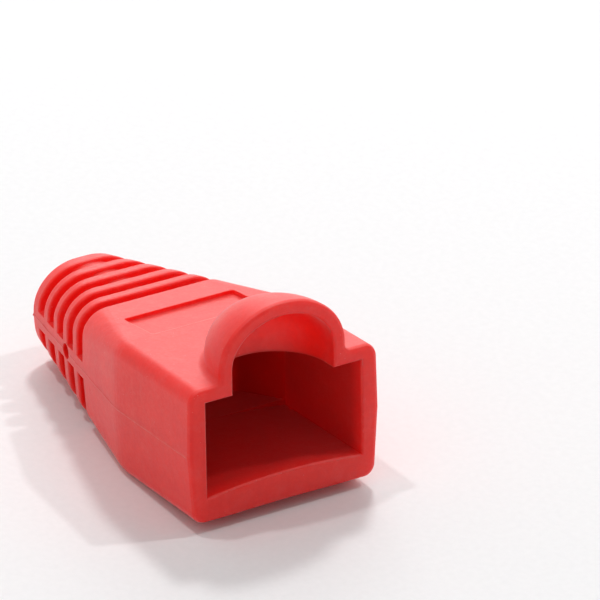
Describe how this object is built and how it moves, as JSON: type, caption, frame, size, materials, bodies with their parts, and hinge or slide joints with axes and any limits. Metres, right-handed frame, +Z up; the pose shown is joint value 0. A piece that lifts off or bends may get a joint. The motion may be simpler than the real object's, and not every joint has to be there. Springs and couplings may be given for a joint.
{
  "type": "strain relief boot for a modular plug",
  "caption": "Soft moulded strain relief boot: a rectangular sleeve with a latch dome that slips over a modular plug, and a ribbed flexible neck that the cable passes through.",
  "frame": {"origin": "middle of the part's length and width, at the height of the flat underside", "axes": "+X from the plug mouth to the cable end, +Z up towards the latch dome"},
  "size_m": [0.0256, 0.0146, 0.0141],
  "materials": {
    "boot": "satin"
  },
  "bodies": {
    "root": {"boot": "boot"}
  },
  "joints": []
}
